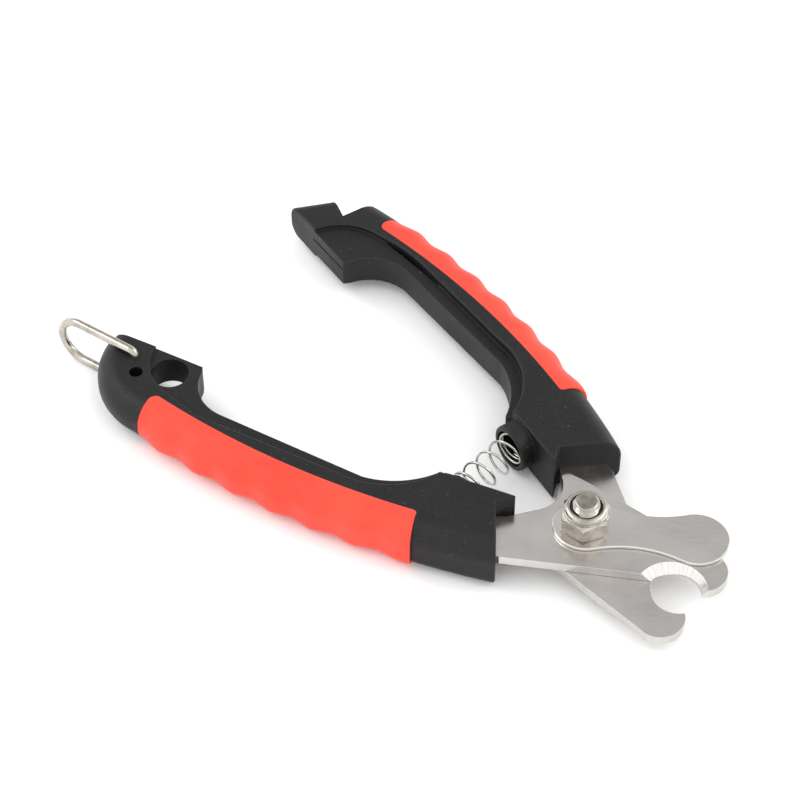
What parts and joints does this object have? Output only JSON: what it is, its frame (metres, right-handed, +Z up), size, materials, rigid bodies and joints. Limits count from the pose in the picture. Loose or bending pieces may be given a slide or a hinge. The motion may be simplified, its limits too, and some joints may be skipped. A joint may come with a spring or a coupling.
{
  "type": "pet nail clipper",
  "caption": "Plier-type pet nail clipper: crossing blades with a round notch, soft-grip handles held apart by a spring, a swinging nail guard and a wire bail that locks it shut.",
  "frame": {"origin": "bottom centre of the bounding box: the clipper lies flat, open, on its bolt head and bail", "axes": "+X from the handles to the blade tips, +Y to the left handle's side, +Z up along the pivot bolt towards its nut"},
  "size_m": [0.1613, 0.0892, 0.0167],
  "materials": {
    "blade_steel": "satin ground plate",
    "guard_steel": "bright satin sheet",
    "handle_plastic": "fine spark texture, semi-matte",
    "grip_rubber": "soft, matte",
    "bright_plating": "bright nickel plating",
    "spring_wire": "bright drawn wire",
    "insert_nylon": "smooth dark nylon"
  },
  "bodies": {
    "right_side": {"upper_blade": "blade_steel", "right_handle_body": "handle_plastic", "right_handle_grip": "grip_rubber", "pivot_bolt": "bright_plating", "lock_nut": "bright_plating", "nut_insert": "insert_nylon", "spring": "spring_wire"},
    "left_side": {"lower_blade": "blade_steel", "left_handle_body": "handle_plastic", "left_handle_grip": "grip_rubber"},
    "guard": {"safety_guard": "guard_steel"},
    "bail": {"lock_bail": "bright_plating"}
  },
  "joints": [
    {"name": "handle_pivot", "type": "hinge", "parent": "right_side", "child": "left_side", "pos_m": [0.04861, 0, 0.00603], "axis": [0, 0, 1], "range_deg": [0, 27.8], "stiffness_Nm_per_rad": 0.76, "springref_deg": -20.05, "deforming": ["spring"]},
    {"name": "guard_swing", "type": "hinge", "parent": "right_side", "child": "guard", "pos_m": [0.04861, 0, 0.00868], "axis": [0, 0, 1], "range_deg": [-60, 50]},
    {"name": "bail_swing", "type": "hinge", "parent": "right_side", "child": "bail", "pos_m": [-0.05828, -0.03181, 0.00683], "axis": [0, 0, 1], "range_deg": [-82, 80]}
  ]
}
